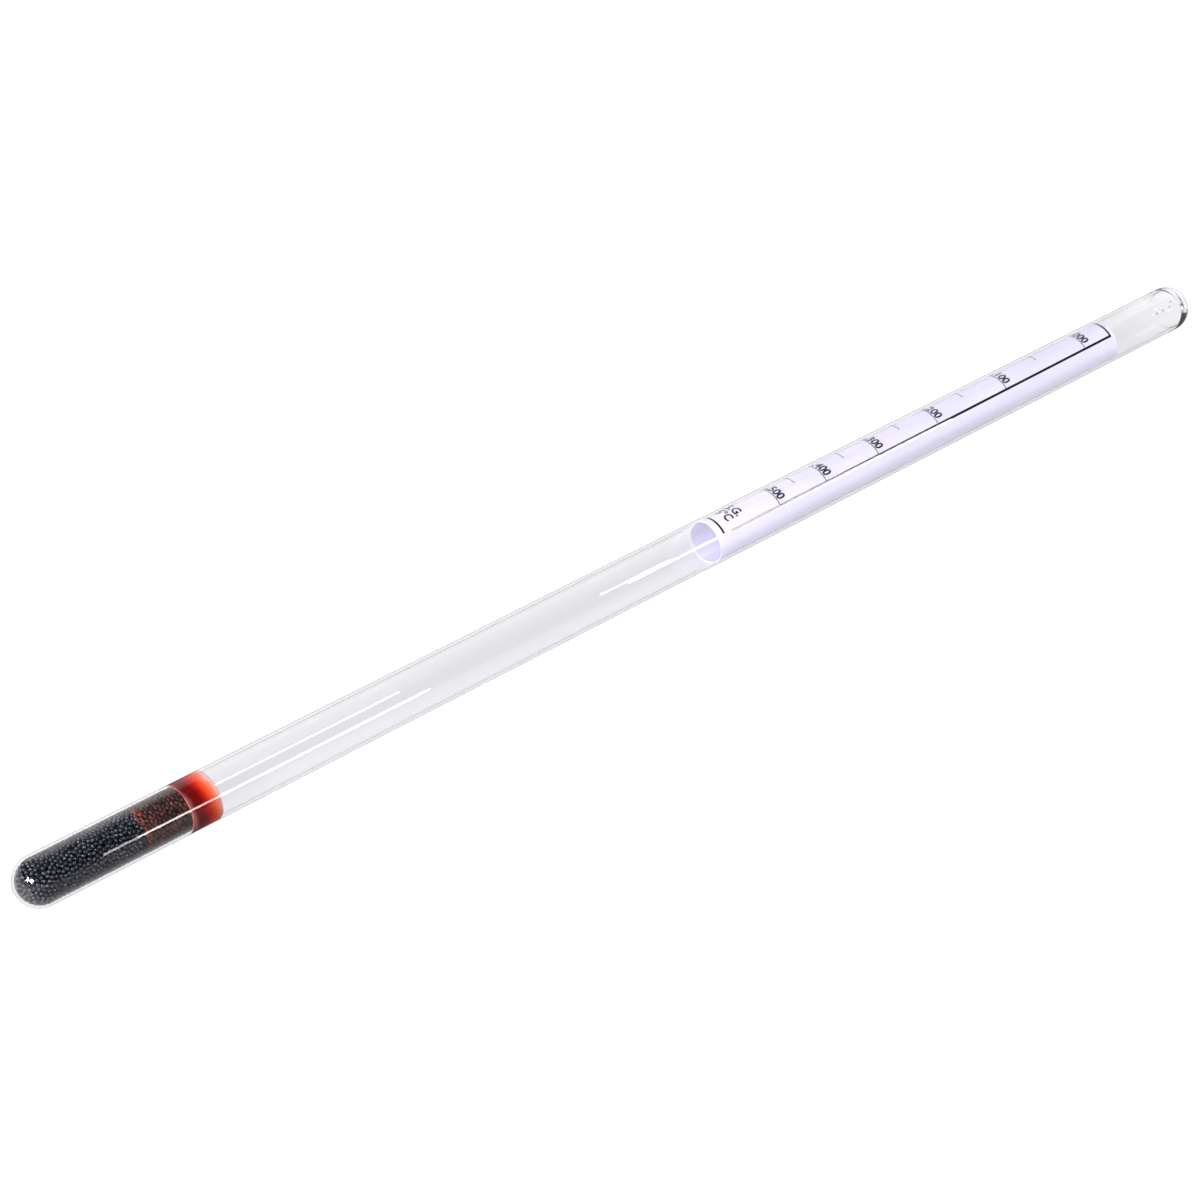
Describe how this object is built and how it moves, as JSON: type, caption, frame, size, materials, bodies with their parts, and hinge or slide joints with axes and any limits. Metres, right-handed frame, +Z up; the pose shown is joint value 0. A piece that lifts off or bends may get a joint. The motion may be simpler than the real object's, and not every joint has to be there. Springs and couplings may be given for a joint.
{
  "type": "float hydrometer",
  "caption": "Sealed glass float with a weighted tip under red wax and a rolled paper scale; it sinks to the mark that reads a liquid's specific gravity.",
  "frame": {"origin": "on the surface that the tube lies on, under the middle of its length", "axes": "+X along the tube, from the weighted tip to the sealed top; +Z up from the surface it lies on"},
  "size_m": [0.3, 0.0092, 0.0093],
  "materials": {
    "clear_glass": "gloss",
    "steel_shot": "satin",
    "waxed_shot": "satin",
    "red_wax": "satin",
    "scale_paper": "matte"
  },
  "bodies": {
    "root": {"glass_tube": "clear_glass", "ballast_shot": "steel_shot", "waxed_shot": "waxed_shot", "wax_plug": "red_wax", "scale_paper": "scale_paper"}
  },
  "joints": []
}
